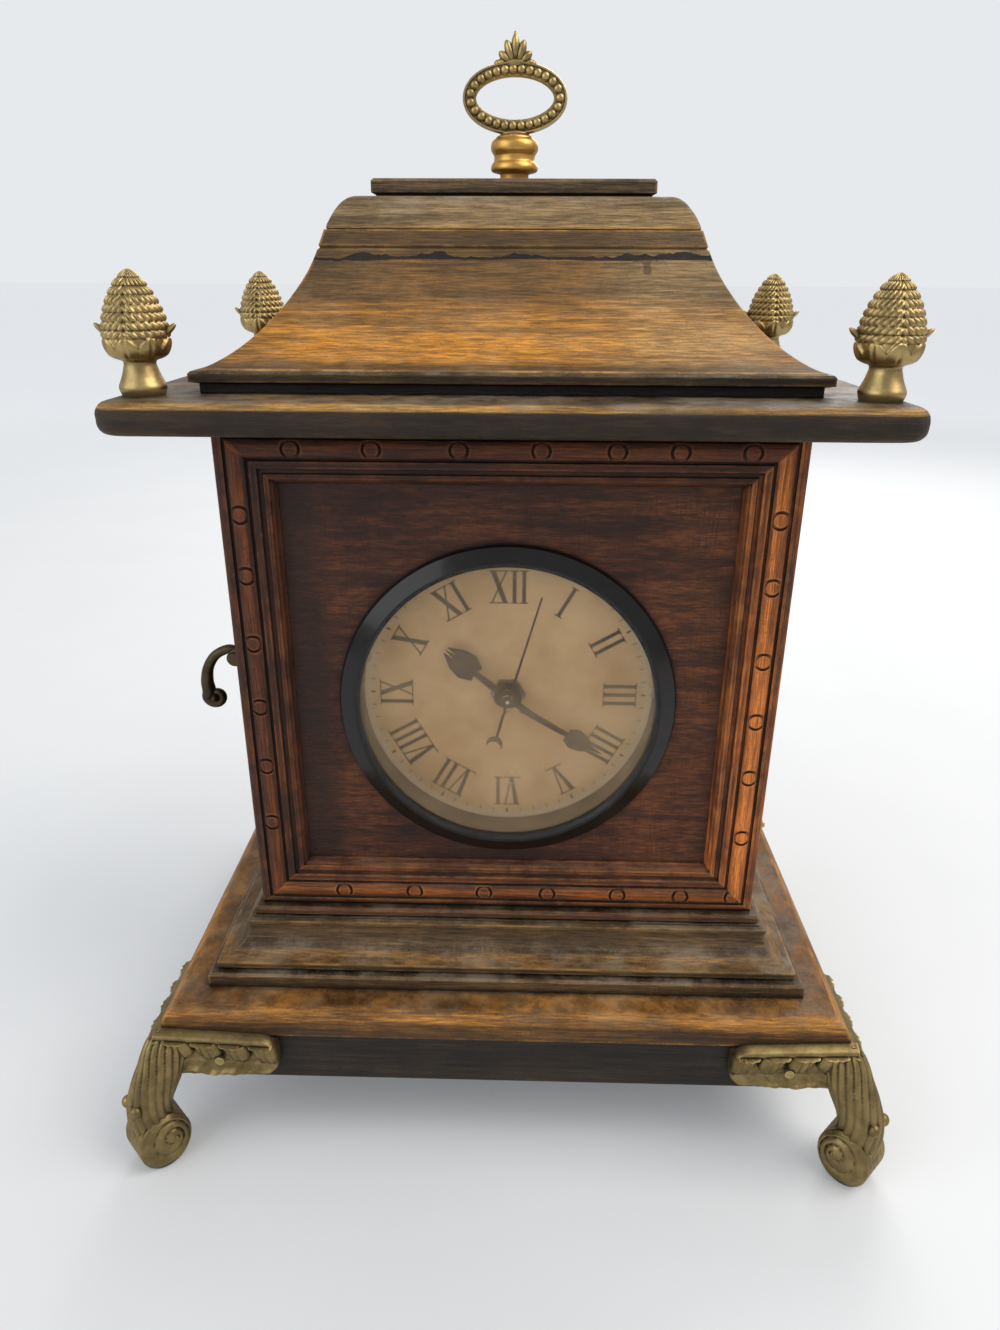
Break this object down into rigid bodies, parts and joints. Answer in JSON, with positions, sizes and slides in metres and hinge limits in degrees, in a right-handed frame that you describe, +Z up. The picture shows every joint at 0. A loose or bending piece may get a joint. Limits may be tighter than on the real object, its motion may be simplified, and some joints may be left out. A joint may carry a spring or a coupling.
{
  "type": "shelf clock",
  "caption": "Wooden shelf clock with a concave pagoda roof, a round Roman dial behind glass in a moulded front, pine-cone finials, a bow finial, scroll feet and a hinged back door",
  "frame": {"origin": "on the floor under the middle of the case", "axes": "+Z up, the dial faces -Y, +X to the right seen from the front"},
  "size_m": [0.2494, 0.1974, 0.3365],
  "materials": {
    "apron_wood": "dark stained, satin",
    "base_wood": "stained and antiqued, satin",
    "case_wood": "stained, satin",
    "panel_wood": "stained, satin",
    "frame_wood": "rubbed orange over dark stain, satin",
    "roof_wood": "stained and antiqued, satin",
    "antique_brass": "antique, dark in the hollows",
    "bezel_black": "gloss black",
    "lens_glass": "slightly fogged",
    "dial_card": "printed card",
    "black_plastic": "moulded",
    "white_plastic": "moulded",
    "spring_steel": "nickel plated",
    "grey_steel": "plain",
    "hand_black": "satin black",
    "battery_wrap": "printed sleeve without lettering",
    "copper_wire": "enamelled copper",
    "board_green": "solder mask",
    "magnet_dark": "ferrite"
  },
  "bodies": {
    "clock": {"base_apron": "apron_wood", "base_cove": "base_wood", "base_slab": "base_wood", "base_top_plate": "base_wood", "battery": "battery_wrap", "battery_contacts": "spring_steel", "bezel": "bezel_black", "bow_collar": "antique_brass", "bow_ring": "antique_brass", "case_back": "case_wood", "case_side_left": "case_wood", "case_side_right": "case_wood", "circuit_board": "board_green", "coil": "copper_wire", "dial": "dial_card", "dial_panel": "panel_wood", "finial_back_left": "antique_brass", "finial_back_right": "antique_brass", "finial_front_left": "antique_brass", "finial_front_right": "antique_brass", "foot_back_left": "antique_brass", "foot_back_right": "antique_brass", "foot_front_left": "antique_brass", "foot_front_right": "antique_brass", "foot_nails": "antique_brass", "frame_bottom": "frame_wood", "frame_left": "frame_wood", "frame_right": "frame_wood", "frame_top": "frame_wood", "hand_nut": "grey_steel", "hinge_fixed_leaves": "antique_brass", "hinge_fixed_screws": "antique_brass", "insert_clips": "spring_steel", "insert_cup": "black_plastic", "lens": "lens_glass", "movement_case": "black_plastic", "movement_cover": "black_plastic", "pull_bracket": "antique_brass", "roof_body": "roof_wood", "roof_cap": "roof_wood", "roof_eave_board": "roof_wood", "roof_shoulder": "roof_wood", "roof_slab": "roof_wood", "stator": "grey_steel"},
    "hour": {"hour_wheel": "white_plastic", "hour_hand": "hand_black"},
    "minute": {"centre_wheel": "white_plastic", "minute_hand": "hand_black"},
    "seconds": {"second_wheel": "white_plastic", "second_hand": "hand_black"},
    "third": {"third_wheel": "white_plastic"},
    "fifth": {"fifth_wheel": "white_plastic"},
    "rotor": {"rotor": "magnet_dark"},
    "motion": {"motion_wheel": "white_plastic"},
    "knob": {"setting_knob": "black_plastic"},
    "door": {"back_door": "case_wood", "hinge_door_leaves": "antique_brass", "hinge_door_screws": "antique_brass", "back_door_knob": "antique_brass"},
    "pull": {"side_pull": "antique_brass"}
  },
  "joints": [
    {"name": "second_spin", "type": "hinge", "parent": "clock", "child": "seconds", "pos_m": [0, -0.04, 0.1503], "axis": [0, 1, 0], "continuous": true},
    {"name": "minute_spin", "type": "hinge", "parent": "clock", "child": "minute", "pos_m": [0, -0.04, 0.1503], "axis": [0, 1, 0], "continuous": true},
    {"name": "hour_spin", "type": "hinge", "parent": "clock", "child": "hour", "pos_m": [0, -0.04, 0.1503], "axis": [0, 1, 0], "continuous": true},
    {"name": "third_spin", "type": "hinge", "parent": "clock", "child": "third", "pos_m": [-0.01224, -0.033, 0.1503], "axis": [0, 1, 0], "continuous": true},
    {"name": "fifth_spin", "type": "hinge", "parent": "clock", "child": "fifth", "pos_m": [0, -0.03, 0.1593], "axis": [0, 1, 0], "continuous": true},
    {"name": "rotor_spin", "type": "hinge", "parent": "clock", "child": "rotor", "pos_m": [-0.00727, -0.028, 0.1635], "axis": [0, 1, 0], "continuous": true},
    {"name": "motion_spin", "type": "hinge", "parent": "clock", "child": "motion", "pos_m": [0.0096, -0.036, 0.1503], "axis": [0, 1, 0], "continuous": true},
    {"name": "knob_spin", "type": "hinge", "parent": "clock", "child": "knob", "pos_m": [0.0192, -0.025, 0.1503], "axis": [0, 1, 0], "continuous": true},
    {"name": "door_hinge", "type": "hinge", "parent": "clock", "child": "door", "pos_m": [0.0556, 0.0578, 0.155], "axis": [0, 0, -1], "range_deg": [0, 110]},
    {"name": "pull_hinge", "type": "hinge", "parent": "clock", "child": "pull", "pos_m": [-0.0886, -0.03, 0.158], "axis": [0, 1, 0], "range_deg": [0, 70]}
  ],
  "couplings": [
    {"joint": "minute_spin", "follows": "second_spin", "ratio": 0.016667},
    {"joint": "hour_spin", "follows": "second_spin", "ratio": 0.0013889},
    {"joint": "third_spin", "follows": "second_spin", "ratio": -0.13333},
    {"joint": "fifth_spin", "follows": "second_spin", "ratio": -5},
    {"joint": "rotor_spin", "follows": "second_spin", "ratio": 30},
    {"joint": "motion_spin", "follows": "second_spin", "ratio": -0.0055556},
    {"joint": "knob_spin", "follows": "second_spin", "ratio": 0.016667}
  ]
}
